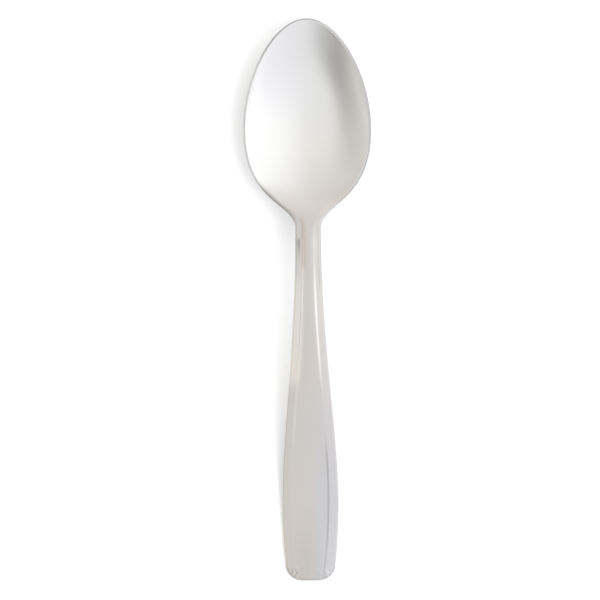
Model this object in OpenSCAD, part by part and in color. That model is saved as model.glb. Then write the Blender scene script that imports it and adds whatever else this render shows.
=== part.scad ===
// Teaspoon stamped from one sheet of stainless steel, lying on a table.
// Lengths are in millimetres. The tip of the bowl points along +Y, the handle along -Y, and +Z is up.

/* [Overall] */
// Length from the tip of the bowl to the end of the handle
spoon_len = 138; // [130:1:160]

/* [Bowl] */
// Width over the rim at the widest place
bowl_w = 31.4; // [26:0.2:38]
// Distance from the tip to the widest place
bowl_widest_at = 27.2; // [22:0.2:32]
// Distance from the tip to where the hollow runs out before the neck
hollow_len = 50; // [42:0.5:58]
// Depth of the hollow below the rim
bowl_depth = 6.9; // [4:0.1:9]
// Thickness of the wall around the bottom of the bowl
bowl_wall = 1.3; // [1:0.05:1.6]
// How far the bottom is pressed flat where the bowl rests on the table
seat_press = 0.4; // [0.3:0.05:0.5]
// Thickness of the wall at the rim
rim_wall = 0.9; // [0.6:0.05:1.3]
// How far the rounded rim stands out past the middle of its wall
rim_round = 0.3; // [0.2:0.05:0.5]
// Rise of the tip above the level part of the rim
tip_lift = 0.3; // [0:0.05:1]
// Distance from the tip to where the rim starts to rise toward the handle
rim_level_len = 29; // [24:0.5:36]
// Distance from the tip to where the wall starts to thicken toward the neck
wall_even_len = 33; // [26:0.5:40]

/* [Neck] */
// Distance from where the hollow runs out to the narrowest place
neck_past_hollow = 1.6; // [0.6:0.1:3]
// Width at the narrowest place
neck_w = 6.25; // [5.5:0.05:9]
// Thickness at the thickest place
neck_thick = 2.6; // [2:0.05:3.2]
// Distance from the narrowest place to the thickest place
thickest_past_neck = 5.4; // [2:0.1:9]
// Length over which the wall of the bowl turns into the handle before the neck
run_out_len = 11; // [6:0.5:16]

/* [Handle] */
// Height of the top of the arch above the table
arch_h = 12; // [10:0.1:18]
// Distance from the narrowest place to the top of the arch
arch_past_neck = 18.4; // [14:0.2:24]
// Length of the evenly thick stretch at the end of the handle
tail_len = 34; // [24:0.5:42]
// Length of the flat stretch at the end, which lies on the table
flat_len = 10; // [6:0.5:16]
// Width at the widest place
handle_w = 13.9; // [10:0.1:18]
// Distance from the end to the widest place
handle_widest_at = 18.9; // [14:0.1:26]
// Thickness of the evenly thick stretch
tail_thick = 1.7; // [1.4:0.05:2.4]
// Width of the straight part of the end, between its corners
end_flat_w = 4.2; // [3:0.1:6]
// Radius of the corners of the end
corner_r = 4; // [2.6:0.1:4.4]
// Angle at which the sides draw in before the corners
end_taper = 8.4; // [2:0.2:12]
// How far the rounded edge of the handle stands out past its flat faces
edge_round = 0.5; // [0.3:0.05:0.7]

/* [Bevels] */
// Distance from the outline to the crease at the neck
neck_crease_in = 1.6; // [1.2:0.05:2]
// Distance from the outline to the crease near the end
end_crease_in = 2.5; // [1.6:0.05:3]
// Width between the creases where they meet the end
end_panel_w = 6.2; // [5:0.1:8]
// Slope of the bevels
bevel_angle = 13.5; // [5:0.5:20]
// Distance before and past the narrowest place over which the bevels run out
bevel_fade = 4; // [2:0.2:6]

/* [Hidden] */

// Reach of each outline curve's pull, as a share of the width or length that the curve covers
tip_pull_share = 0.5;
side_pull_share = 0.5;
heel_pull_share = 0.745;
throat_pull_share = 0.27;
stem_pull_share = 0.416;
swell_pull_share = 0.266;
draw_in_pull_share = 0.35;
corner_pull_share = 0.19;
// Shape of the hollow along its length: a larger lead moves it back, a larger fade draws its heel out
hollow_lead = 3;
hollow_fade = 1.94;
// First place on the tip curve
tip_start_share = 0.02;
// Least and most of the half width that the panel between the creases takes up
least_panel_share = 0.5;
most_panel_share = 0.92;

// Steps along each outline curve, across half of the panel and of a bevel, and around an edge
bowl_front_steps = 16;
bowl_back_steps = 18;
stem_steps = 24;
draw_in_steps = 6;
corner_steps = 8;
panel_steps = 6;
bevel_steps = 2;
edge_steps = 6;

rim_h = bowl_depth + bowl_wall - seat_press;
neck_at = hollow_len + neck_past_hollow;
thickest_at = neck_at + thickest_past_neck;
arch_at = neck_at + arch_past_neck;
handle_widest_s = spoon_len - handle_widest_at;
corner_s = spoon_len - corner_r + corner_r * sin(end_taper);
corner_half = end_flat_w / 2 + corner_r * cos(end_taper);
tail_s = spoon_len - tail_len;
flat_s = spoon_len - flat_len;
run_out_s = neck_at - run_out_len;
// Terms of the slope of the hollow, and where it is level, as a share of the hollow's length
hollow_rise = 2 * hollow_lead - 1 - hollow_fade;
hollow_turn = hollow_lead * (2 + hollow_fade);
deepest_share = (hollow_rise + sqrt(hollow_rise * hollow_rise + 4 * hollow_turn)) / (2 * hollow_turn);
deepest_s = deepest_share * hollow_len;

// Points and directions of a cubic curve
function cubic(p, t) = p[0] * pow(1 - t, 3) + 3 * p[1] * pow(1 - t, 2) * t + 3 * p[2] * (1 - t) * t * t
    + p[3] * pow(t, 3);
function cubic_dir(p, t) = (p[1] - p[0]) * pow(1 - t, 2) + 2 * (p[2] - p[1]) * (1 - t) * t
    + (p[3] - p[2]) * t * t;
// Smooth step from 0 to 1 between two distances from the tip
function smooth(u) = let (c = max(0, min(1, u))) c * c * c * (10 - 15 * c + 6 * c * c);
function ease(s, from, to) = smooth((s - from) / (to - from));
// Smooth step that bends most at its two ends
function swing(s, from, to) = let (c = max(0, min(1, (s - from) / (to - from)))) c * c * (3 - 2 * c);
function mix(a, b, share) = a + (b - a) * share;

// A station holds the half width, the distance from the tip and the outward direction of the outline
function station(p, dir) = concat(p, [dir[1], -dir[0]] / norm(dir));
function curve_stations(p, shares) = [for (t = shares) station(cubic(p, t), cubic_dir(p, t))];
function steps_of(count) = [for (k = [1:count]) k / count];

bowl_front = let (half = bowl_w / 2, s = bowl_widest_at)
    [[0, 0], [tip_pull_share * half, 0], [half, s - side_pull_share * s], [half, s]];
bowl_back = let (len = neck_at - bowl_widest_at)
    [[bowl_w / 2, bowl_widest_at], [bowl_w / 2, bowl_widest_at + heel_pull_share * len],
     [neck_w / 2, neck_at - throat_pull_share * len], [neck_w / 2, neck_at]];
stem = let (len = handle_widest_s - neck_at)
    [[neck_w / 2, neck_at], [neck_w / 2, neck_at + stem_pull_share * len],
     [handle_w / 2, handle_widest_s - swell_pull_share * len], [handle_w / 2, handle_widest_s]];
draw_in = let (len = corner_s - handle_widest_s, pull = corner_pull_share * len)
    [[handle_w / 2, handle_widest_s], [handle_w / 2, handle_widest_s + draw_in_pull_share * len],
     [corner_half + pull * sin(end_taper), corner_s - pull * cos(end_taper)], [corner_half, corner_s]];
corner_angles = [for (k = steps_of(corner_steps)) mix(end_taper, 90, k)];
corner_stations = [for (a = corner_angles)
    [end_flat_w / 2 + corner_r * cos(a), spoon_len - corner_r + corner_r * sin(a), cos(a), sin(a)]];
stations = concat(
    curve_stations(bowl_front, concat([tip_start_share], steps_of(bowl_front_steps))),
    curve_stations(bowl_back, steps_of(bowl_back_steps)),
    curve_stations(stem, steps_of(stem_steps)),
    curve_stations(draw_in, steps_of(draw_in_steps)),
    corner_stations);

// Height of the rim, and past the bowl of the panel on the handle, which comes down to lie on the table
function edge_h(s) = rim_h + tip_lift * pow(max(0, 1 - s / deepest_s), 2)
    + (arch_h - rim_h) * ease(s, rim_level_len, arch_at)
    - (arch_h - tail_thick) * swing(s, arch_at, flat_s);
// 0 in the bowl and 1 on the handle
function handle_part(s) = ease(s, run_out_s, neck_at);
// 0 before the bevels and 1 where they have their full slope
function bevel_part(s) = ease(s, neck_at - bevel_fade, neck_at + bevel_fade);
// Depth of the hollow below the rim
function hollow_form(u) = u * pow(max(0, 1 - u), hollow_fade) * (1 + hollow_lead * u);
function dish(s) = bowl_depth * hollow_form(s / hollow_len) / hollow_form(deepest_share);
// Slope of the bottom of the hollow along its length
function hollow_form_slope(u) =
    pow(max(0, 1 - u), hollow_fade - 1) * (1 + hollow_rise * u - hollow_turn * u * u);
function dish_slope(s) =
    bowl_depth / hollow_len * hollow_form_slope(s / hollow_len) / hollow_form(deepest_share);
// Thickness along the middle
function thick(s) = rim_wall + (bowl_wall - rim_wall) * ease(s, 0, deepest_s)
    + (neck_thick - bowl_wall) * ease(s, wall_even_len, thickest_at)
    - (neck_thick - tail_thick) * ease(s, thickest_at, tail_s);
// Half width between the creases
function crease_half(half, s) = s > corner_s
    ? mix(corner_half - end_crease_in, end_panel_w / 2, (s - corner_s) / (spoon_len - corner_s))
    : half - mix(neck_crease_in, end_crease_in, max(0, (s - neck_at) / (corner_s - neck_at)));

// Lean of the wall at the rim, outward from upright
function rim_lean(st) = atan2(2 * dish(st[1]), st[0] * st[2]);
// Distance from the outline to the top edge, which leaves room for the rounded edge
function top_inset(st) =
    let (on_handle = handle_part(st[1]))
    let (lean = (1 - on_handle) * rim_lean(st))
    let (back = rim_wall / 2 * sin(lean))
    let (out = mix(rim_round, edge_round, on_handle) * cos(lean))
    back + sqrt(back * back + out * out);

// Shares of the half width at which the points across a station lie
function across_shares(crease) = concat(
    [for (k = steps_of(panel_steps)) crease * k],
    [for (k = steps_of(bevel_steps)) mix(crease, 1, k)]);
function mirrored(shares) = concat([for (k = [len(shares) - 1:-1:0]) -shares[k]], [0], shares);

// Top points of a station, from left to right
function top_row(st) =
    let (inset = top_inset(st))
    let (half = st[0] - inset * st[2], s = st[1] - inset * st[3])
    let (hollow = dish(st[1]), crease = crease_half(st[0], s))
    let (crease_at = max(least_panel_share, min(crease / half, most_panel_share)))
    let (drop = bevel_part(s) * tan(bevel_angle))
    [for (v = mirrored(across_shares(crease_at)))
        [v * half, spoon_len / 2 - s,
         edge_h(s) - hollow * (1 - v * v) - drop * max(0, abs(v) * half - crease)]];
top_rows = [for (st = stations) top_row(st)];
last_row = len(stations) - 1;
stem_row = bowl_front_steps + bowl_back_steps + stem_steps / 2;
middle_column = panel_steps + bevel_steps;
last_column = 2 * middle_column;

// Upward unit vector square to the hollow, at a share of the half width
function hollow_normal(st, v) =
    let (lean = tan(rim_lean(st)))
    let (slope = mix(dish_slope(st[1]), -st[3] * lean, v * v))
    let (up = [-st[2] * lean * v, -slope, 1])
    up / norm(up);
// The underside follows the bowl at the thickness of its wall, and is flat at the seat and across the handle
function under_point(i, j) =
    let (top = top_rows[i][j], s = spoon_len / 2 - top[1], v = top[0] / top_rows[i][last_column][0])
    let (wall = mix(thick(s), rim_wall, v * v))
    let (flat_point = [top[0], top[1], top_rows[i][middle_column][2] - thick(s)])
    let (under = mix(top - wall * hollow_normal(stations[i], v), flat_point, handle_part(s)))
    [under[0], under[1], max(0, under[2])];
// Points of the rounded edge on one side, from the top down
function edge_points(i, top, under, side) =
    let (st = stations[i], out = [side * st[2], -st[3], 0])
    let (mid = (top + under) / 2, up = (top - under) / 2)
    let (level = up / norm(up), reach = mix(rim_round, edge_round, handle_part(st[1])))
    let (away = level[2] * out - [0, 0, level * out])
    [for (k = [1:edge_steps - 1]) let (a = 180 * k / edge_steps) mid + up * cos(a) + reach * away * sin(a)];
function reversed(list) = [for (k = [len(list) - 1:-1:0]) list[k]];
// Closed ring of points around a station: top, right edge, underside and left edge
function ring(i) =
    let (top = top_rows[i], under = [for (j = [0:last_column]) under_point(i, j)])
    concat(top, edge_points(i, top[last_column], under[last_column], 1), reversed(under),
        reversed(edge_points(i, top[0], under[0], -1)));
rings = [for (i = [0:last_row]) ring(i)];
ring_size = len(rings[0]);

// Faces between neighbouring rings, as triangles
function side_faces(rows) = [for (i = [0:rows - 2]) for (j = [0:ring_size - 1])
    let (a = i * ring_size, b = a + ring_size, k = (j + 1) % ring_size)
    each [[a + j, b + k, b + j], [a + j, a + k, b + k]]];
// Faces that close a ring straight across, from its left edge to its right edge
function cap_faces() =
    let (right = last_column + 1, left = ring_size - 1, under = last_column + edge_steps)
    concat(
        [for (j = [0:last_column]) [left, j, j + 1]],
        [for (k = [0:edge_steps - 3])
            each [[left - k, right + k, right + k + 1], [left - k, right + k + 1, left - k - 1]]],
        [for (j = [under - 1:under + last_column - 1]) [under + last_column + 1, j, j + 1]]);
function turned(faces) = [for (f = faces) [f[2], f[1], f[0]]];
function moved(faces, by) = [for (f = faces) [for (p = f) p + by]];

// Closed stretch of the spoon between two stations
module stretch(first, last) {
    end_cap = moved(cap_faces(), (last - first) * ring_size);
    polyhedron(
        [for (i = [first:last]) each rings[i]],
        concat(side_faces(last - first + 1), turned(cap_faces()), end_cap));
}

// The bowl and the handle are one piece, and meet in a section of the stem
module spoon() {
    color("lightgray") {
        stretch(0, stem_row);
        stretch(stem_row, last_row);
    }
}

spoon();
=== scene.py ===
import math
from types import SimpleNamespace

import bpy
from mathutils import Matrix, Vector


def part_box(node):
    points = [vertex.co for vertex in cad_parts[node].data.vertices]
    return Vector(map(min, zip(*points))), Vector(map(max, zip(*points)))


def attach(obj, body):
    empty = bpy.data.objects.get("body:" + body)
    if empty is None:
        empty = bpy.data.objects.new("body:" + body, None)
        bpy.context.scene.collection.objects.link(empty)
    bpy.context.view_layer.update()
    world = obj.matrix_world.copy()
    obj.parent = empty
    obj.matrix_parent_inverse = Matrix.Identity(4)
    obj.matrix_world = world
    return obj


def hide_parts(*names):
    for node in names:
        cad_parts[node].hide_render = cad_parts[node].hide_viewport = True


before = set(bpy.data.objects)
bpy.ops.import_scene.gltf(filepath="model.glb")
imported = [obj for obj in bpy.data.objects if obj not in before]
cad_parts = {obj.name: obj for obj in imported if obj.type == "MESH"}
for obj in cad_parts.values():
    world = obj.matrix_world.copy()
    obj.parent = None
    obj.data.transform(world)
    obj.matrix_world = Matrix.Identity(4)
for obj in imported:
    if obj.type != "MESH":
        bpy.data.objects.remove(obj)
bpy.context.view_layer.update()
spoon_low, spoon_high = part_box("spoon")

bl_info = {
    "name": "Teaspoon",
    "version": (1, 0, 0),
    "blender": (4, 5, 0),
    "location": "View3D > Sidebar > Teaspoon",
    "description": "Teaspoon stamped from one sheet of steel, on a pale floor",
    "category": "Add Mesh",
}

MM = 0.001

# Reach of each outline curve's pull, as a share of the width or length that the curve covers
TIP_PULL = 0.5
SIDE_PULL = 0.5
HEEL_PULL = 0.745
THROAT_PULL = 0.27
STEM_PULL = 0.416
SWELL_PULL = 0.266
DRAW_IN_PULL = 0.35
CORNER_PULL = 0.19

# Shape of the hollow along its length, and where it is deepest
HOLLOW_LEAD = 3.0
HOLLOW_FADE = 1.94
HOLLOW_RISE = 2 * HOLLOW_LEAD - 1 - HOLLOW_FADE
HOLLOW_TURN = HOLLOW_LEAD * (2 + HOLLOW_FADE)
DEEPEST_SHARE = (HOLLOW_RISE + math.sqrt(HOLLOW_RISE ** 2 + 4 * HOLLOW_TURN)) / (2 * HOLLOW_TURN)
DEEPEST_FORM = DEEPEST_SHARE * (1 - DEEPEST_SHARE) ** HOLLOW_FADE * (1 + HOLLOW_LEAD * DEEPEST_SHARE)

# Rows along the spoon, points across half of each face and around an edge, and points on an outline curve
STATIONS = 430
PANEL_STEPS = 24
CREASE_STEPS = 10
BEVEL_STEPS = 8
EDGE_STEPS = 14
CURVE_POINTS = 256
# Share of the outline at which the first row lies
FIRST_SHARE = 0.002
# Points that are closer together than this are merged
SAME_PLACE = 0.0005 * MM
# Least width that a depth is divided by
LEAST_WIDTH = 1e-6 * MM

# Least and most of the half width that the panel between the creases takes up
LEAST_PANEL = 0.5
MOST_PANEL = 0.92
# Reach of the finely divided zone on each side of a crease, in widths of the crease
CREASE_ZONE = 1.5
# Share of the panel's crown that is lost toward the end
CROWN_LOSS = 0.6

# Steps along the spoon of the handle's finish and tones and of the painted light and shade:
# a place, and where each starts and is full, in millimetres past it
MARK_STEPS = {
    "handle": ("neck", -13.5, -5),
    # Where the handle's darker tone, painted shade, sets in
    "brushing": ("neck", -8, 0),
    "left rim lightens": ("tip", 5, 15),
    "rim ends": ("neck", -9, -2),
    "heel starts": ("run_out", -2, 3),
    "heel ends": ("neck", -5, 0),
    "left bevel light ends": ("arch", 16, 23),
    "right shine ends": ("arch", 10, 24),
    "left shine starts": ("neck", 0, 4),
    "left shine weakens past the neck": ("neck", 9, 14),
    "left shine weakens at the arch": ("arch", -4, 4),
    "left shine ends": ("tail", -4, 2),
    "dull crease starts": ("tail", -4, 6),
    "dull crease weakens": ("flat", -3, 4),
    "left edge light starts": ("arch", 0, 24),
    "end starts": ("corner", -1.5, 1),
    "smudge starts": ("neck", 1.7, 3.2),
    "smudge ends": ("neck", 2.8, 8.2),
    "grey edge starts": ("neck", -2, 0),
    "grey edge ends": ("neck", 12, 16),
    "stain starts": ("neck", -3.5, -1.5),
    "stain ends": ("neck", 7.5, 11.5),
}

# Bands of painted shade and reflection across the spoon: where each starts and is full, past a crease or in
# from an edge
NECK_REFLECTION_BAND = (0.2 * MM, 0.5 * MM)
GREY_BAND = (0.5 * MM, 1.0 * MM)
BROWN_REFLECTION_INNER_BAND = (-1.6 * MM, -0.4 * MM)
BROWN_REFLECTION_OUTER_BAND = (0.2 * MM, -0.1 * MM)
HEEL_LINE_BAND = (0.9 * MM, 0.1 * MM)
HEEL_SHADE_BAND = (6 * MM, 1 * MM)
# Half of the width over which marks of the left give way to marks of the right
SIDE_BLEND = 1.5 * MM
# How far from the crease the painted light of a bevel starts and is full, and how much further in on the left
BEVEL_LIGHT_BLEND = 0.1 * MM
LEFT_BEVEL_LIGHT_START = 1.15 * MM
LEFT_BEVEL_LIGHT_FULL = 0.35 * MM
# Where the line of painted highlight or painted shade lies inside a crease, and its width in widths of the
# crease
LINE_INSET = 0.1 * MM
LINE_WIDTH = 0.62
# Part of a rounded edge's turn, from 0 at the faces to 1 at its middle, over which its painted light and
# shade set in
EDGE_TURN = (0.2, 0.7)

# Strength of each mark of painted light and shade, as a part of the light that it takes or gives,
# or of the handle's darker tone that it changes
RIM_DARK = 0.42
LEFT_RIM_LIGHT = 0.3
HEEL_LINE_DARK = 0.26
HEEL_SHADE_DARK = 0.09
END_DARK = 0.2
LEFT_EDGE_LIGHT = 0.36
NECK_REFLECTION_DARK = 0.3
GREY_DARK = 0.1
LEFT_CREASE_HIGHLIGHT = 0.85
NECK_HIGHLIGHT_LOSS = 0.35
ARCH_HIGHLIGHT_LOSS = 0.25
CREASE_SHADE_LOSS = 0.5
RIGHT_BEVEL_LIGHT = 0.25
NECK_DARKER_TONE = 0.4

# Cells of each noise in a metre across, along and upward
BRUSHING_GRAIN = (16000, 160, 6000)
CLOUD_GRAIN = (120, 60, 120)
SCRATCH_GRAIN = (2600, 22, 900)
TARNISH_GRAIN = (75, 22, 75)
SPECK_GRAIN = (1700, 1700, 1700)
# Middle level, roughness and detail of the noises
NOISE_MIDDLE = 0.5
NOISE_ROUGHNESS = 0.5
FINE_DETAIL = 2.0
CLOUD_DETAIL = 3.0
PLAIN_DETAIL = 1.0
# Levels of the noise between which a mark sets in, and the turn of the light specks' noise in radians
TARNISH_LEVELS = (0.38, 0.62)
DARK_SPECK_LEVELS = (0.56, 0.66)
LIGHT_SPECK_LEVELS = (0.58, 0.68)
LIGHT_SPECK_TURN = 1.2
# The turn of each set of scratches in radians and the level at which it starts, and how far on it is full
SCRATCHES = ((0.9, 0.67), (0.4, 0.66), (1.3, 0.66), (2.5, 0.66))
SCRATCH_RISE = 0.08

# Casts that tint the steel: warm and cool casts at random, a painted cool reflection at the right of the end,
# and a painted brown reflection at the neck
WARM_TARNISH = (1.015, 1.0, 0.975, 1)
COOL_TARNISH = (0.99, 1.0, 1.03, 1)
COOL_END_REFLECTION = (0.975, 1.0, 1.055, 1)
NECK_BROWN_REFLECTION = (0.895, 0.845, 0.8, 1)

# Distances from the end of the handle, and from the middle line, over which the painted cool reflection,
# the painted shade band and the specks near the end set in
COOL_REFLECTION_ALONG = (34 * MM, 23 * MM)
COOL_REFLECTION_ACROSS = (0, 2.5 * MM)
END_SHADE_ALONG = (19 * MM, 7 * MM)
END_SHADE_MIDDLE = -1.2 * MM
END_SHADE_WIDTH = 3.2 * MM
SPECK_ALONG = (3.5 * MM, 2.4 * MM)
SPECK_ACROSS = (1.2 * MM, 2.4 * MM)

# How much each mark changes the shade, the roughness or the height of the steel; the crease and end band
# marks are painted highlight and shade
CLOUD_SHADE = 0.04
CREASE_HIGHLIGHT = 0.42
CREASE_SHADE = 0.24
END_SHADE_STRENGTH = 0.08
SPECK_SHADE = 0.3
CLOUD_ROUGHNESS = 0.05
SCRATCH_ROUGHNESS = 0.06
BRUSHING_ROUGHNESS = 0.05
SCRATCH_HEIGHT = 0.6
BUMP_STRENGTH = 0.35
BUMP_DISTANCE = 0.002 * MM

# Casts that tint the studio light
WARM_LEFT = (1.02, 1.0, 0.95, 1)
WARM_TIP = (1.045, 1.0, 0.955, 1)
COOL_HANDLE = (1.0, 1.0, 1.03, 1)
WHITE = (1.0, 1.0, 1.0, 1)
# Where each cast sets in and is full, as the part of a direction that points to the right or toward the tip
WARM_LEFT_TO_RIGHT = (-0.4, -0.85)
WARM_TIP_TO_RIGHT = (0.4, -0.2)
WARM_TIP_TO_TIP = (0.1, 0.6)
COOL_HANDLE_TO_RIGHT = (-0.1, 0.4)
COOL_HANDLE_TO_TIP = (0.1, -0.3)
# Least distance aside that a direction is divided by
LEAST_ASIDE = 0.01

# The camera's sensor width in millimetres, the height where its field width is measured, and how far it sees
SENSOR_WIDTH = 36
FIELD_LEVEL = 8 * MM
FARTHEST_SEEN = 10


def size(name, description, default):
    """A length that the user can change."""
    return bpy.props.FloatProperty(name=name, description=description, default=default, min=0, precision=5,
                                   subtype="DISTANCE", unit="LENGTH")


def angle(name, description, degrees):
    """An angle that the user can change."""
    return bpy.props.FloatProperty(name=name, description=description, default=math.radians(degrees), min=0,
                                   subtype="ANGLE", unit="ROTATION")


def share(name, description, default):
    """A number from 0 to 1 that the user can change."""
    return bpy.props.FloatProperty(name=name, description=description, default=default, min=0, max=1,
                                   subtype="FACTOR")


def strength(name, description, default):
    """The strength of a light that the user can change."""
    return bpy.props.FloatProperty(name=name, description=description, default=default, min=0)


def tint(name, description, default):
    """A colour that the user can change."""
    return bpy.props.FloatVectorProperty(name=name, description=description, default=default, min=0, max=1,
                                         size=4, subtype="COLOR")


class SpoonSizes(bpy.types.PropertyGroup):
    """Sizes of the spoon."""
    length: size("Length", "From the tip of the bowl to the end of the handle", spoon_high.y - spoon_low.y)
    bowl_width: size("Bowl width", "Over the rim at the widest place", spoon_high.x - spoon_low.x)
    bowl_widest_at: size("Bowl widest at", "From the tip to the widest place", 27.2 * MM)
    hollow_length: size("Hollow length", "From the tip to where the hollow runs out", 50 * MM)
    neck_past_hollow: size("Neck past hollow", "From there to the narrowest place", 1.6 * MM)
    hollow_depth: size("Hollow depth", "Below the rim", 6.9 * MM)
    bowl_wall: size("Bowl wall", "Thickness around the bottom of the bowl", 1.3 * MM)
    seat_press: size("Seat press", "How far the bottom is pressed flat", 0.4 * MM)
    rim_wall: size("Rim wall", "Thickness at the rim", 0.9 * MM)
    rim_round: size("Rim round", "How far the rounded rim stands out", 0.3 * MM)
    tip_lift: size("Tip lift", "Rise of the tip above the level part of the rim", 0.3 * MM)
    rim_level_length: size("Rim level length", "From the tip to where the rim starts to rise", 29 * MM)
    wall_even_length: size("Wall even length", "From the tip to where the wall starts to thicken", 33 * MM)
    neck_width: size("Neck width", "At the narrowest place", 6.25 * MM)
    neck_thickness: size("Neck thickness", "At the thickest place", 2.6 * MM)
    thickest_past_neck: size("Thickest past neck", "From the narrowest to the thickest place", 5.4 * MM)
    run_out_length: size("Run-out length", "Over which the wall of the bowl turns into the handle", 11 * MM)
    arch_height: size("Arch height", "Top of the arch above the floor", spoon_high.z)
    arch_past_neck: size("Arch past neck", "From the narrowest place to the top of the arch", 18.4 * MM)
    tail_length: size("Tail length", "Evenly thick stretch at the end of the handle", 34 * MM)
    tail_thickness: size("Tail thickness", "Of the evenly thick stretch", 1.7 * MM)
    flat_length: size("Flat length", "Flat stretch at the end, which lies on the floor", 10 * MM)
    handle_width: size("Handle width", "At the widest place", 13.9 * MM)
    handle_widest_at: size("Handle widest at", "From the end to the widest place", 18.9 * MM)
    end_flat_width: size("End flat width", "Straight part of the end between its corners", 4.2 * MM)
    corner_radius: size("Corner radius", "Corners of the end", 4 * MM)
    end_taper: angle("End taper", "At which the sides draw in before the corners", 8.4)
    edge_round: size("Edge round", "How far the rounded edge of the handle stands out", 0.5 * MM)
    neck_crease_inset: size("Neck crease inset", "From the outline to the crease at the neck", 1.6 * MM)
    end_crease_inset: size("End crease inset", "From the outline to the crease near the end", 2.5 * MM)
    end_panel_width: size("End panel width", "Between the creases where they meet the end", 6.2 * MM)
    bevel_angle: angle("Bevel angle", "Slope of the bevels along the stem", 13.5)
    end_bevel_angle: angle("End bevel angle", "Slope of the bevels near the end", 11)
    bevel_fade: size("Bevel fade", "Each side of the narrowest place, where the bevels run out", 4 * MM)
    crease_width: size("Crease width", "Over which a crease turns from panel to bevel", 0.4 * MM)
    crease_step: size("Crease step", "How far the panel stands above the bevels on the stem", 0.1 * MM)
    end_recess: size("End recess", "How far the panel lies below the bevels near the end", 0.06 * MM)
    panel_crown: size("Panel crown", "Rise of the panel's middle above its sides", 0.18 * MM)


class SteelLook(bpy.types.PropertyGroup):
    """Colour and finish of the steel."""
    bowl_colour: tint("Bowl colour", "Polished steel of the bowl", (0.589, 0.588, 0.586, 1))
    # The stem and handle colours are lighter and darker tones of the same steel: painted light and painted
    # shade
    stem_colour: tint("Stem colour", "Lighter, warmer tone of the steel on the stem's bevels, painted light", (0.562, 0.545, 0.512, 1))
    darker_handle_colour: tint("Darker handle colour", "Darker tone of the steel on the panel and the end, painted shade", (0.462, 0.446, 0.430, 1))
    bowl_roughness: share("Bowl roughness", "Of the polished bowl", 0.2)
    handle_roughness: share("Handle roughness", "Of the brushed handle", 0.16)


class StageLook(bpy.types.PropertyGroup):
    """Floor, light and camera."""
    floor_colour: tint("Floor colour", "Matt pale floor", (0.902, 0.911, 0.921, 1))
    floor_radius: size("Floor radius", "From the spoon to the edge of the floor", 3.0)
    light: strength("Light", "Strength of the studio light", 1.7)
    key_light: strength("Key light", "Strength of the light that casts the shadow", 0.6)
    key_tilt: angle("Key tilt", "Of the key light, from straight above", 32)
    key_turn: angle("Key turn", "Of the key light round the spoon, from its right", 325)
    key_spread: angle("Key spread", "How wide the key light is", 25)
    camera_height: size("Camera height", "Above the floor", 1.2)
    field_width: size("Field width", "Width of the picture at the height of the rim", 146.84 * MM)
    camera_across: bpy.props.FloatProperty(name="Camera across", description="Sideways place of the camera",
                                           default=-2.07 * MM, precision=5, subtype="DISTANCE", unit="LENGTH")
    camera_along: bpy.props.FloatProperty(name="Camera along", description="Lengthwise place of the camera",
                                          default=0.02 * MM, precision=5, subtype="DISTANCE", unit="LENGTH")
    camera_roll: bpy.props.FloatProperty(name="Camera roll", description="Turn of the picture",
                                         default=math.radians(-0.464), subtype="ANGLE", unit="ROTATION")


class Wire:
    """An output socket of a node tree that can be used in sums. Each operator adds a Math node."""

    def __init__(self, tree, socket=None):
        self.tree = tree
        self.socket = socket

    def node(self, kind, settings=None, sockets=None, out=0):
        """Adds a node with its settings and the values or links of its sockets. Gives one of its outputs."""
        node = self.tree.nodes.new(kind)
        for name, value in (settings or {}).items():
            setattr(node, name, value)
        for key, value in (sockets or {}).items():
            for item in value if isinstance(value, list) else [value]:
                if isinstance(item, Wire):
                    self.tree.links.new(item.socket, node.inputs[key])
                else:
                    node.inputs[key].default_value = item
        return Wire(self.tree, node.outputs[out] if node.outputs else None)

    def beside(self, out):
        """Another output of the same node."""
        return Wire(self.tree, self.socket.node.outputs[out])

    def math(self, operation, *values):
        return self.node("ShaderNodeMath", {"operation": operation}, dict(enumerate(values)))

    def __add__(self, other):
        return self.math("ADD", self, other)

    def __radd__(self, other):
        return self.math("ADD", other, self)

    def __sub__(self, other):
        return self.math("SUBTRACT", self, other)

    def __rsub__(self, other):
        return self.math("SUBTRACT", other, self)

    def __mul__(self, other):
        return self.math("MULTIPLY", self, other)

    def __rmul__(self, other):
        return self.math("MULTIPLY", other, self)

    def __truediv__(self, other):
        return self.math("DIVIDE", self, other)

    def __rtruediv__(self, other):
        return self.math("DIVIDE", other, self)

    def __pow__(self, power):
        return self.math("POWER", self, power)

    def __neg__(self):
        return self.math("MULTIPLY", self, -1)

    def __abs__(self):
        return self.math("ABSOLUTE", self)

    def least(self, other):
        return self.math("MINIMUM", self, other)

    def most(self, other):
        return self.math("MAXIMUM", self, other)

    def root(self):
        return self.math("SQRT", self)

    def exp(self):
        return self.math("EXPONENT", self)

    def sine(self):
        return self.math("SINE", self)

    def cosine(self):
        return self.math("COSINE", self)

    def tangent(self):
        return self.math("TANGENT", self)

    def bell(self):
        """1 where this is 0, with a smooth fall on both sides."""
        return (-(self * self)).exp()

    def ramp(self, start, end, kind="LINEAR"):
        """0 at start and before it, 1 at end and past it."""
        return self.node("ShaderNodeMapRange", {"interpolation_type": kind, "clamp": True},
                         {"Value": self, "From Min": start, "From Max": end})

    def ease(self, start, end):
        return self.ramp(start, end, "SMOOTHERSTEP")

    def to(self, other, part):
        """This value where part is 0, the other where it is 1."""
        return self + (other - self) * part

    def xyz(self):
        """The three parts of a vector."""
        x = self.node("ShaderNodeSeparateXYZ", None, {"Vector": self})
        return x, x.beside("Y"), x.beside("Z")

    def vector(self, x, y, z):
        return self.node("ShaderNodeCombineXYZ", None, {"X": x, "Y": y, "Z": z})

    def mixed(self, part, first, second):
        """The first colour where part is 0, the second where it is 1."""
        return self.node("ShaderNodeMix", {"data_type": "RGBA"}, {0: part, 6: first, 7: second}, 2)


def spoon_sizes():
    """The sizes of the spoon as Blender keeps them."""
    return [p for p in SpoonSizes.bl_rna.properties if p.type == "FLOAT"]


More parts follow.
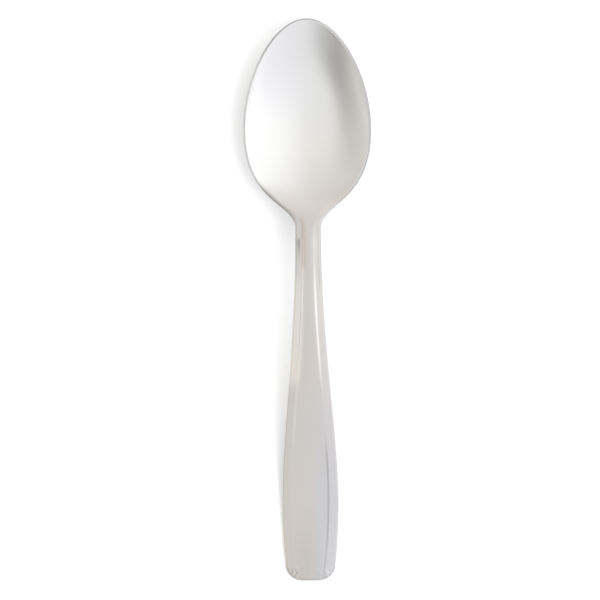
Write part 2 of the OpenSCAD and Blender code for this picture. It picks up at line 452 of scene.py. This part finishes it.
def spoon_places(size):
    """Places along the spoon as distances from the tip, and sizes that follow from others."""
    at = SimpleNamespace()
    at.tip = 0.0
    at.neck = size.hollow_length + size.neck_past_hollow
    at.run_out = at.neck - size.run_out_length
    at.thickest = at.neck + size.thickest_past_neck
    at.arch = at.neck + size.arch_past_neck
    at.tail = size.length - size.tail_length
    at.flat = size.length - size.flat_length
    at.deepest = size.hollow_length * DEEPEST_SHARE
    at.handle_widest = size.length - size.handle_widest_at
    at.corner = size.length - size.corner_radius * (1 - size.end_taper.sine())
    at.corner_half = size.end_flat_width / 2 + size.corner_radius * size.end_taper.cosine()
    at.rim_height = size.hollow_depth + size.bowl_wall - size.seat_press
    return at


def outline_curve(wire, size, at):
    """The right half of the outline, from tip to end: X is the half width, Y the distance from the tip."""
    def bend(start, start_pull, end_pull, end):
        points = [wire.vector(*point, 0.0) for point in (start, start_pull, end_pull, end)]
        return wire.node("GeometryNodeCurvePrimitiveBezierSegment", {"mode": "POSITION"}, {
            "Resolution": CURVE_POINTS, "Start": points[0], "Start Handle": points[1],
            "End Handle": points[2], "End": points[3]})

    bowl_half = size.bowl_width / 2
    neck_half = size.neck_width / 2
    handle_half = size.handle_width / 2
    end_half = size.end_flat_width / 2
    back_len = at.neck - size.bowl_widest_at
    stem_len = at.handle_widest - at.neck
    draw_len = at.corner - at.handle_widest
    lean_in = size.end_taper.sine()
    lean_on = size.end_taper.cosine()
    corner_pull = draw_len * CORNER_PULL
    arc_pull = ((math.pi / 2 - size.end_taper) / 4).tangent() * size.corner_radius * (4 / 3)

    tip = bend((0.0, 0.0), (bowl_half * TIP_PULL, 0.0),
               (bowl_half, size.bowl_widest_at * (1 - SIDE_PULL)), (bowl_half, size.bowl_widest_at))
    heel = bend((bowl_half, size.bowl_widest_at), (bowl_half, size.bowl_widest_at + back_len * HEEL_PULL),
                (neck_half, at.neck - back_len * THROAT_PULL), (neck_half, at.neck))
    stem = bend((neck_half, at.neck), (neck_half, at.neck + stem_len * STEM_PULL),
                (handle_half, at.handle_widest - stem_len * SWELL_PULL), (handle_half, at.handle_widest))
    draw_in = bend((handle_half, at.handle_widest),
                   (handle_half, at.handle_widest + draw_len * DRAW_IN_PULL),
                   (at.corner_half + corner_pull * lean_in, at.corner - corner_pull * lean_on),
                   (at.corner_half, at.corner))
    corner = bend((at.corner_half, at.corner),
                  (at.corner_half - arc_pull * lean_in, at.corner + arc_pull * lean_on),
                  (end_half + arc_pull, size.length), (end_half, size.length))
    # Join Geometry puts the curve that is linked last first
    return wire.node("GeometryNodeJoinGeometry", None, {"Geometry": [corner, draw_in, stem, heel, tip]})


def rim_and_panel_height(size, at, along):
    """Height of the rim, and past the bowl of the panel on the handle."""
    lift = size.tip_lift * (1 - along / at.deepest).most(0.0) ** 2
    rise = (size.arch_height - at.rim_height) * along.ease(size.rim_level_length, at.arch)
    fall = (size.arch_height - size.tail_thickness) * along.ramp(at.arch, at.flat, "SMOOTHSTEP")
    return at.rim_height + lift + rise - fall


def middle_thickness(size, at, along):
    """Thickness of the sheet along the middle line."""
    thick = size.rim_wall + (size.bowl_wall - size.rim_wall) * along.ease(0.0, at.deepest)
    thick = thick + (size.neck_thickness - size.bowl_wall) * along.ease(size.wall_even_length, at.thickest)
    return thick - (size.neck_thickness - size.tail_thickness) * along.ease(at.thickest, at.tail)


def finish_and_painted_light(size, at, along, across, past_crease, from_edge, on_top, turned):
    """What the material reads at each point: how far the handle's finish has set in, the painted brown
    reflection at the neck, the share of the handle's darker tone against its lighter one as painted shade and
    light, the painted highlight along a crease or, below 0, its painted shade, and the painted shade that an
    edge, the heel and the neck take, less the painted light on the handle's left edge."""
    def step(name):
        place, start, full = MARK_STEPS[name]
        return along.ease(getattr(at, place) + start * MM, getattr(at, place) + full * MM)

    right = across.ramp(-SIDE_BLEND, SIDE_BLEND)
    left = 1 - right
    on_stem = along.ease(at.thickest, at.arch)
    bevelled = along.ease(at.neck - size.bevel_fade, at.neck + size.bevel_fade)
    rounded = turned.ramp(*EDGE_TURN)

    # Painted light: the bevels take the lighter tone along the stem, fully on the left, where it reaches onto
    # the panel, and weakly on the right
    on_bevel = past_crease.ramp(-BEVEL_LIGHT_BLEND - LEFT_BEVEL_LIGHT_START * left,
                                BEVEL_LIGHT_BLEND - LEFT_BEVEL_LIGHT_FULL * left)
    painted_bevel_light = left * on_stem * (1 - step("left bevel light ends"))
    painted_bevel_light = on_bevel * (painted_bevel_light + RIGHT_BEVEL_LIGHT * right * (1 - along.ease(at.arch, at.handle_widest)))

    # A painted highlight runs along each crease on the stem, and a line of painted shade along the right one
    # near the end
    highlight = LEFT_CREASE_HIGHLIGHT - NECK_HIGHLIGHT_LOSS * step("left shine weakens past the neck")
    highlight = highlight - ARCH_HIGHLIGHT_LOSS * step("left shine weakens at the arch")
    highlight = left * highlight * step("left shine starts") * (1 - step("left shine ends"))
    highlight = highlight + right * on_stem * (1 - step("right shine ends"))
    shaded = right * step("dull crease starts") * (1 - CREASE_SHADE_LOSS * step("dull crease weakens"))
    line = ((past_crease + LINE_INSET) / (size.crease_width * LINE_WIDTH)).bell() * on_top * bevelled

    # Painted shade darkens the rounded rim, less on the left, and the rounded edge at the end
    rim = (RIM_DARK - LEFT_RIM_LIGHT * left * step("left rim lightens")) * (1 - step("rim ends"))
    at_end = step("end starts")
    # Painted light brightens the left edge of the handle
    left_edge_light = LEFT_EDGE_LIGHT * left * step("left edge light starts") * (1 - at_end)
    # Painted shade on the left of the heel: a dark line at the edge and a broad shade within
    heel = HEEL_LINE_DARK * from_edge.ramp(*HEEL_LINE_BAND)
    heel = heel + HEEL_SHADE_DARK * from_edge.ramp(*HEEL_SHADE_BAND)
    heel = heel * left * step("heel starts") * (1 - step("heel ends"))
    # A painted dark reflection on the left bevel past the neck
    dark_neck_reflection = NECK_REFLECTION_DARK * left * step("smudge starts") * (1 - step("smudge ends"))
    dark_neck_reflection = dark_neck_reflection * past_crease.ramp(*NECK_REFLECTION_BAND)
    # Painted shade on the right bevel past the neck
    grey = GREY_DARK * right * step("grey edge starts") * (1 - step("grey edge ends"))
    grey = grey * past_crease.ramp(*GREY_BAND)

    # A painted brown reflection on the panel inside the left crease at the neck
    stain = left * step("stain starts") * (1 - step("stain ends"))
    stain = stain * past_crease.ramp(*BROWN_REFLECTION_INNER_BAND) * past_crease.ramp(*BROWN_REFLECTION_OUTER_BAND)
    # The edge mark adds up the painted shade, less the painted light on the handle's left edge
    edge = rounded * (rim - left_edge_light + END_DARK * at_end) + heel + (dark_neck_reflection + grey) * on_top.most(rounded)
    return {"handle": step("handle"),
            "stain": stain * on_top,
            # Share of the handle's darker tone, painted shade, against the lighter tone, painted light
            "brushed": NECK_DARKER_TONE + (1 - NECK_DARKER_TONE - painted_bevel_light) * step("brushing"),
            # Painted highlight along a crease, or painted shade where this is below 0
            "crease": line * (highlight - shaded),
            "edge": edge}


def spoon_tree(steel):
    """The node tree that lofts the spoon: a grid of rows along the outline, each a ring of points."""
    tree = bpy.data.node_groups.new("spoon_loft", "GeometryNodeTree")
    for prop in spoon_sizes():
        tree.interface.new_socket(name=prop.name, in_out="INPUT", socket_type="NodeSocketFloat")
    tree.interface.new_socket(name="Spoon", in_out="OUTPUT", socket_type="NodeSocketGeometry")
    wire = Wire(tree)
    given = wire.node("NodeGroupInput")
    size = SimpleNamespace(**{prop.identifier: given.beside(prop.name) for prop in spoon_sizes()})
    at = spoon_places(size)

    # Each ring runs left to right over the top, round the right edge, back underneath and up the left edge
    across_steps = PANEL_STEPS + CREASE_STEPS + BEVEL_STEPS
    top_points = 2 * across_steps + 1
    right_under = top_points - 1 + EDGE_STEPS
    left_under = right_under + top_points - 1
    ring_points = left_under + EDGE_STEPS
    rows = 1 + STATIONS + EDGE_STEPS // 2
    grid = wire.node("GeometryNodeMeshGrid", None, {"Vertices X": rows, "Vertices Y": ring_points + 1})
    index = wire.node("GeometryNodeInputIndex")
    row = index.math("FLOOR", (index + 0.5) / (ring_points + 1))
    column = index - row * (ring_points + 1)

    # The outline at this row: half width, distance from the tip and outward direction
    sample = wire.node("GeometryNodeSampleCurve", {"mode": "FACTOR", "use_all_curves": True}, {
        "Curves": outline_curve(wire, size, at),
        "Factor": row.ramp(1, STATIONS) * (1 - FIRST_SHARE) + FIRST_SHARE}, "Position")
    half, along, _ = sample.xyz()
    heading_x, heading_y, _ = sample.beside("Tangent").xyz()
    out_x = heading_y
    out_along = -heading_x

    # The hollow: its depth, its slope along the middle and the lean of its wall at the rim
    part = (along / size.hollow_length).least(1.0)
    hollow = size.hollow_depth / DEEPEST_FORM * part * (1 - part) ** HOLLOW_FADE * (1 + HOLLOW_LEAD * part)
    hollow_slope = size.hollow_depth / size.hollow_length / DEEPEST_FORM * (1 - part) ** (HOLLOW_FADE - 1) * (
        1 + HOLLOW_RISE * part - HOLLOW_TURN * part * part)
    wall_rise = 2 * hollow / (half * out_x).most(LEAST_WIDTH)
    on_handle = along.ease(at.run_out, at.neck)
    lean = (1 - on_handle) * wall_rise.math("ARCTANGENT", wall_rise)
    reach = size.rim_round.to(size.edge_round, on_handle)

    # The top edge lies inside the outline and leaves room for the rounded edge
    back = size.rim_wall / 2 * lean.sine()
    stand_out = reach * lean.cosine()
    inset = back + (back * back + stand_out * stand_out).root()
    top_half = half - inset * out_x
    top_along = along - inset * out_along
    top_on_handle = top_along.ease(at.run_out, at.neck)

    # Share of the half width at which this point lies, with more points at the crease
    crease_inset = size.neck_crease_inset.to(size.end_crease_inset, top_along.ramp(at.neck, at.corner))
    crease = half.to(at.corner_half, along.math("GREATER_THAN", along, at.corner)) - crease_inset
    crease = crease + (size.end_panel_width / 2 - at.corner_half + size.end_crease_inset) * top_along.ramp(
        at.corner, size.length)
    crease_share = (crease / top_half).most(LEAST_PANEL).least(MOST_PANEL)
    zone = (size.crease_width * CREASE_ZONE / top_half).least((1 - crease_share) / 2)
    swing = 2 * column.ramp(0, top_points - 1) - 2 * column.ramp(right_under, left_under) - 1
    reach_out = abs(swing)
    panel_end = PANEL_STEPS / across_steps
    crease_end = (PANEL_STEPS + CREASE_STEPS) / across_steps
    v_size = ((crease_share - zone) * reach_out.ramp(0.0, panel_end)
              + 2 * zone * reach_out.ramp(panel_end, crease_end)
              + (1 - crease_share - zone) * reach_out.ramp(crease_end, 1.0))
    side = swing.math("SIGN", swing)
    v = side * v_size

    # The top face
    past_crease = v_size * top_half - crease
    toward_end = top_along.ease(at.arch, at.handle_widest)
    bevel = (past_crease + (past_crease * past_crease + size.crease_width * size.crease_width).root()) / 2
    bevel = bevel * size.bevel_angle.to(size.end_bevel_angle, toward_end).tangent()
    step = size.crease_step.to(-size.end_recess, toward_end)
    outside = past_crease.ease(-size.crease_width / 2, size.crease_width / 2)
    crown = size.panel_crown * (1 - CROWN_LOSS * toward_end) * (v_size / crease_share).least(1.0) ** 2
    bevelled = top_along.ease(at.neck - size.bevel_fade, at.neck + size.bevel_fade)
    drop = (bevel + step * outside - step.least(0.0) + crown) * bevelled
    edge_height = rim_and_panel_height(size, at, top_along)
    top = (v * top_half, size.length / 2 - top_along, edge_height - hollow * (1 - v * v) - drop)

    # The underside follows the bowl at its wall's thickness, and is flat at the seat and across the handle
    thick = middle_thickness(size, at, top_along)
    wall = thick.to(size.rim_wall, v * v)
    up_x = -out_x * wall_rise * v
    up_y = -hollow_slope.to(-out_along * wall_rise, v * v)
    steep = (up_x * up_x + up_y * up_y + 1).root()
    leaning = (top[0] - wall * up_x / steep, top[1] - wall * up_y / steep, top[2] - wall / steep)
    flat = (top[0], top[1], edge_height - hollow - thick)
    under = [a.to(b, top_on_handle) for a, b in zip(leaning, flat)]
    under[2] = under[2].most(0.0)

    # The rounded edge turns from the top face to the underside, square to the wall, and closes the end
    turn = (column.ramp(top_points - 1, right_under) - column.ramp(left_under, ring_points)) * math.pi
    end_turn = (row - STATIONS).most(0.0) * (math.pi / EDGE_STEPS)
    turn = turn.most(end_turn).least(math.pi - end_turn)
    turn_out = turn.sine()
    middle = [(a + b) / 2 for a, b in zip(top, under)]
    upward = [(a - b) / 2 for a, b in zip(top, under)]
    upward_size = (upward[0] * upward[0] + upward[1] * upward[1] + upward[2] * upward[2]).root()
    level = [a / upward_size for a in upward]
    out = (side * out_x, -out_along)
    away = (level[2] * out[0], level[2] * out[1], -(level[0] * out[0] + level[1] * out[1]))
    place = [m + u * turn.cosine() + a * (turn_out * reach) for m, u, a in zip(middle, upward, away)]
    # The first row closes the tip on the middle line
    place = wire.vector(place[0] * row.least(1.0), place[1] + (spoon_low.y + spoon_high.y) / 2, place[2])

    on_top = column.ramp(top_points, top_points - 1)
    from_edge = (1 - v_size) * top_half
    marks = finish_and_painted_light(size, at, top_along, top[0], past_crease, from_edge, on_top, turn_out)
    spoon = wire.node("GeometryNodeSetPosition", None, {"Geometry": grid, "Position": place})
    for name, value in marks.items():
        spoon = wire.node("GeometryNodeStoreNamedAttribute", {"data_type": "FLOAT", "domain": "POINT"},
                          {"Geometry": spoon, "Name": name, "Value": value})
    spoon = wire.node("GeometryNodeMergeByDistance", None, {"Geometry": spoon, "Distance": SAME_PLACE})
    spoon = wire.node("GeometryNodeSetShadeSmooth", None, {0: spoon, "Shade Smooth": True})
    spoon = wire.node("GeometryNodeRealizeInstances", None, {"Geometry": spoon})
    spoon = wire.node("GeometryNodeSetMaterial", None, {"Geometry": spoon, "Material": steel})
    wire.node("NodeGroupOutput", None, {"Spoon": spoon})
    return tree


def steel_material(look):
    """Steel with a polish in the bowl and brushing on the handle, in lighter and darker tones that are
    painted light and shade, with painted highlights, shade and reflections, and marks of use.
    """
    steel = bpy.data.materials.new("stamped_steel")
    steel.use_nodes = True
    steel.node_tree.nodes.clear()
    wire = Wire(steel.node_tree)
    place = wire.node("ShaderNodeTexCoord", None, None, "Object")
    across, along, _ = place.xyz()
    from_end = along - spoon_low.y

    def mark(name):
        return wire.node("ShaderNodeAttribute", {"attribute_name": name}, None, "Fac")

    def grain(scale, turn=0.0, detail=FINE_DETAIL):
        stretched = wire.node("ShaderNodeMapping", None,
                              {"Vector": place, "Rotation": (0, 0, turn), "Scale": scale})
        return wire.node("ShaderNodeTexNoise", {"noise_dimensions": "3D"}, {
            "Vector": stretched, "Scale": 1.0, "Detail": detail, "Roughness": NOISE_ROUGHNESS}, 0)

    handle = mark("handle")
    crease = mark("crease")
    brushing = grain(BRUSHING_GRAIN)
    clouds = grain(CLOUD_GRAIN, detail=CLOUD_DETAIL)
    scratches = sum(grain(SCRATCH_GRAIN, turn, PLAIN_DETAIL).ramp(level, level + SCRATCH_RISE)
                    for turn, level in SCRATCHES).least(1.0)

    # Colour: the steel's tone at each place, lighter on the stem's bevels and darker on the panel as painted
    # light and shade, then random casts and painted reflections
    finish = wire.mixed(mark("brushed"), look.stem_colour, look.darker_handle_colour)
    colour = wire.mixed(handle, look.bowl_colour, finish)
    patches = grain(TARNISH_GRAIN, detail=PLAIN_DETAIL).ramp(*TARNISH_LEVELS)
    tarnish_and_reflections = wire.mixed(patches, WARM_TARNISH, COOL_TARNISH)
    # A painted cool reflection on the right of the end of the handle
    tarnish_and_reflections = wire.mixed(across.ramp(*COOL_REFLECTION_ACROSS) * from_end.ramp(*COOL_REFLECTION_ALONG), tarnish_and_reflections, COOL_END_REFLECTION)
    # A painted brown reflection at the neck
    tarnish_and_reflections = wire.mixed(mark("stain"), tarnish_and_reflections, NECK_BROWN_REFLECTION)
    colour_with_casts = wire.node("ShaderNodeVectorMath", {"operation": "MULTIPLY"}, {0: colour, 1: tarnish_and_reflections})
    colour = wire.mixed(handle, colour, colour_with_casts)

    # Shade: random clouds; painted shade and light on the edges, the heel and the neck; a painted highlight
    # or shade line along the creases; a painted shade band near the end; and darker and lighter specks at the
    # corners of the end
    shade = (1 - CLOUD_SHADE / 2 + CLOUD_SHADE * clouds) * (1 - mark("edge"))
    # Painted highlight along the creases, and painted shade where the crease mark is below 0
    shade = shade * (1 + CREASE_HIGHLIGHT * crease.most(0.0) + CREASE_SHADE * crease.least(0.0))
    # A painted shade band near the end, left of the middle
    end_shade_band = ((across - END_SHADE_MIDDLE) / END_SHADE_WIDTH).bell() * from_end.ramp(*END_SHADE_ALONG)
    shade = shade * (1 - END_SHADE_STRENGTH * end_shade_band)
    # Darker and lighter specks at the corners of the end
    dark_and_light_specks = grain(SPECK_GRAIN).ramp(*DARK_SPECK_LEVELS) - grain(SPECK_GRAIN, LIGHT_SPECK_TURN).ramp(*LIGHT_SPECK_LEVELS)
    corner_specks = from_end.ramp(*SPECK_ALONG) * abs(across).ramp(*SPECK_ACROSS) * dark_and_light_specks
    shade = shade * (1 - SPECK_SHADE * corner_specks)
    colour = wire.node("ShaderNodeVectorMath", {"operation": "SCALE"}, {"Vector": colour, "Scale": shade})

    rough = look.bowl_roughness + (look.handle_roughness - look.bowl_roughness) * handle
    rough = rough + CLOUD_ROUGHNESS * (clouds - NOISE_MIDDLE) + SCRATCH_ROUGHNESS * scratches
    rough = rough + BRUSHING_ROUGHNESS * handle * (brushing - NOISE_MIDDLE)
    height = brushing * handle - scratches * SCRATCH_HEIGHT
    bump = wire.node("ShaderNodeBump", None, {
        "Strength": BUMP_STRENGTH, "Distance": BUMP_DISTANCE, "Height": height})
    shader = wire.node("ShaderNodeBsdfPrincipled", None, {
        "Base Color": colour, "Metallic": 1.0, "Roughness": rough, "Normal": bump})
    wire.node("ShaderNodeOutputMaterial", None, {"Surface": shader})
    return steel


def studio_world(look):
    """Soft light all round: brighter to the right, with a darker ring low on the left, soft spots,
    and a bright band above a dim horizon."""
    world = bpy.data.worlds.new("studio")
    world.use_nodes = True
    world.node_tree.nodes.clear()
    wire = Wire(world.node_tree)
    x, y, z = wire.node("ShaderNodeTexCoord", None, None, "Generated").xyz()
    aside = (x * x + y * y).root()

    def sky(overhead, right_gain, right_tip_gain, left_loss):
        """The broad light: stronger to the right, most of all toward the tip, and weaker to the left."""
        return overhead + x.most(0.0) * (right_gain + right_tip_gain * y) + left_loss * x.least(0.0)

    def ring(strength, middle, width, right, left):
        """A soft ring at a distance aside, which sets in from right to left."""
        return strength * ((aside - middle) / width).bell() * x.ramp(right, left, "SMOOTHSTEP")

    def spot(strength, turn, middle, width, fade):
        """A soft spot at a turn round the horizon in degrees and at a distance aside."""
        off = (aside - middle) / width
        turn_x = math.cos(math.radians(turn))
        turn_y = math.sin(math.radians(turn))
        turned = 1 - (x * turn_x + y * turn_y) / aside.most(LEAST_ASIDE)
        return strength * (-(off * off) - fade * turned).exp()

    def horizon(strength, start):
        """A bright band above the horizon."""
        return strength * aside.ramp(start, 1.0)

    def right_patch(strength, x_start, x_full, y_start, y_full):
        """A brighter patch low on the right."""
        return strength * x.ramp(x_start, x_full) * y.ramp(y_start, y_full)

    def ground_dim(least, top):
        """Dims what is close to the horizon."""
        return least + (1 - least) * z.ramp(0.0, top)

    light = sky(overhead=0.787, right_gain=0.191, right_tip_gain=0.231, left_loss=0.057)
    light = light - ring(strength=0.28, middle=0.905, width=0.14, right=0.685, left=-0.938)
    light = light - spot(strength=0.29, turn=234.5, middle=0.908, width=0.165, fade=8.34)
    light = light + spot(strength=0.4, turn=238.1, middle=0.956, width=0.108, fade=23.3)
    light = light + spot(strength=0.3, turn=146.6, middle=0.97, width=0.074, fade=9.75)
    light = light + horizon(strength=0.188, start=0.972)
    light = light + right_patch(strength=0.06, x_start=0.8, x_full=0.95, y_start=-0.33, y_full=-0.23)
    light = light * ground_dim(least=0.5, top=0.07)

    tinted = wire.mixed(x.ramp(*WARM_LEFT_TO_RIGHT), WHITE, WARM_LEFT)
    tinted = wire.mixed(y.ramp(*WARM_TIP_TO_TIP) * x.ramp(*WARM_TIP_TO_RIGHT), tinted, WARM_TIP)
    tinted = wire.mixed(x.ramp(*COOL_HANDLE_TO_RIGHT) * y.ramp(*COOL_HANDLE_TO_TIP), tinted, COOL_HANDLE)
    studio = wire.node("ShaderNodeBackground", None, {"Color": tinted, "Strength": light * look.light})
    backdrop = wire.node("ShaderNodeBackground", None, {"Color": WHITE, "Strength": 1.0})
    seen = wire.node("ShaderNodeLightPath", None, None, "Is Camera Ray")
    shown = wire.node("ShaderNodeMixShader", None, {0: seen, 1: studio, 2: backdrop})
    wire.node("ShaderNodeOutputWorld", None, {"Surface": shown})
    return world


def floor_material(look):
    """Matt paint of one colour."""
    matt = bpy.data.materials.new("pale_floor")
    matt.use_nodes = True
    matt.node_tree.nodes.clear()
    wire = Wire(matt.node_tree)
    paint = wire.node("ShaderNodeBsdfDiffuse", None, {"Color": look.floor_colour})
    wire.node("ShaderNodeOutputMaterial", None, {"Surface": paint})
    return matt


def key_lamp(look):
    """A soft light that casts the shadow and isn't mirrored in the steel."""
    key = bpy.data.lights.new("key", "SUN")
    key.energy = look.key_light
    key.angle = look.key_spread
    lamp = bpy.data.objects.new("key", key)
    lamp.rotation_euler = (0, look.key_tilt, look.key_turn)
    lamp.visible_glossy = False
    return lamp


def overhead_camera(look):
    """A camera that looks straight down."""
    lens = bpy.data.cameras.new("camera")
    lens.sensor_width = SENSOR_WIDTH
    lens.lens = SENSOR_WIDTH * (look.camera_height - FIELD_LEVEL) / look.field_width
    lens.clip_end = FARTHEST_SEEN
    camera = bpy.data.objects.new("camera", lens)
    camera.location = (look.camera_across, look.camera_along, look.camera_height)
    camera.rotation_euler = (0, 0, look.camera_roll)
    return camera


class TEASPOON_OT_spoon(bpy.types.Operator):
    """Make the spoon"""
    bl_idname = "teaspoon.spoon"
    bl_label = "Spoon"

    def execute(self, context):
        scene = context.scene
        steel = steel_material(scene.teaspoon_steel)
        tree = spoon_tree(steel)
        blank = bpy.data.objects.new("spoon_blank", bpy.data.meshes.new("spoon_blank"))
        scene.collection.objects.link(blank)
        loft = blank.modifiers.new("loft", "NODES")
        loft.node_group = tree
        named = {prop.name: getattr(scene.teaspoon_sizes, prop.identifier) for prop in spoon_sizes()}
        for item in tree.interface.items_tree:
            if item.in_out == "INPUT":
                loft[item.identifier] = named[item.name]
        shaped = blank.evaluated_get(context.evaluated_depsgraph_get())
        mesh = bpy.data.meshes.new_from_object(shaped)
        mesh.name = "spoon_steel"
        bpy.data.objects.remove(blank)
        if not mesh.polygons:
            raise RuntimeError("the loft gave no faces")
        spoon = bpy.data.objects.new("spoon_steel", mesh)
        scene.collection.objects.link(spoon)
        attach(spoon, "root")
        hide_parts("spoon")
        return {"FINISHED"}


class TEASPOON_OT_stage(bpy.types.Operator):
    """Make the floor, the light and the camera"""
    bl_idname = "teaspoon.stage"
    bl_label = "Stage"

    def execute(self, context):
        scene = context.scene
        look = scene.teaspoon_stage
        mesh = bpy.data.meshes.new("floor")
        r, z = look.floor_radius, spoon_low.z
        mesh.from_pydata([(-r, -r, z), (r, -r, z), (r, r, z), (-r, r, z)], [], [(0, 1, 2, 3)])
        mesh.materials.append(floor_material(look))
        floor = bpy.data.objects.new("floor", mesh)
        scene.collection.objects.link(floor)
        scene.world = studio_world(look)
        scene.collection.objects.link(key_lamp(look))
        scene.view_settings.view_transform = "Standard"
        camera = overhead_camera(look)
        scene.collection.objects.link(camera)
        scene.camera = camera
        return {"FINISHED"}


class TEASPOON_PT_panel(bpy.types.Panel):
    """Lists the sizes, the finish and the steps that make the spoon"""
    bl_idname = "TEASPOON_PT_panel"
    bl_label = "Teaspoon"
    bl_space_type = "VIEW_3D"
    bl_region_type = "UI"
    bl_category = "Teaspoon"

    def draw(self, context):
        for group in ("teaspoon_sizes", "teaspoon_steel", "teaspoon_stage"):
            box = self.layout.box()
            values = getattr(context.scene, group)
            for prop in values.bl_rna.properties:
                if prop.type == "FLOAT":
                    box.prop(values, prop.identifier)
        for step in (TEASPOON_OT_spoon, TEASPOON_OT_stage):
            self.layout.operator(step.bl_idname)


CLASSES = (SpoonSizes, SteelLook, StageLook, TEASPOON_OT_spoon, TEASPOON_OT_stage, TEASPOON_PT_panel)


def register():
    for cls in CLASSES:
        bpy.utils.register_class(cls)
    bpy.types.Scene.teaspoon_sizes = bpy.props.PointerProperty(type=SpoonSizes)
    bpy.types.Scene.teaspoon_steel = bpy.props.PointerProperty(type=SteelLook)
    bpy.types.Scene.teaspoon_stage = bpy.props.PointerProperty(type=StageLook)


def unregister():
    del bpy.types.Scene.teaspoon_sizes
    del bpy.types.Scene.teaspoon_steel
    del bpy.types.Scene.teaspoon_stage
    for cls in reversed(CLASSES):
        bpy.utils.unregister_class(cls)


def main():
    register()
    bpy.ops.teaspoon.spoon()
    bpy.ops.teaspoon.stage()


if __name__ == "__main__":
    main()
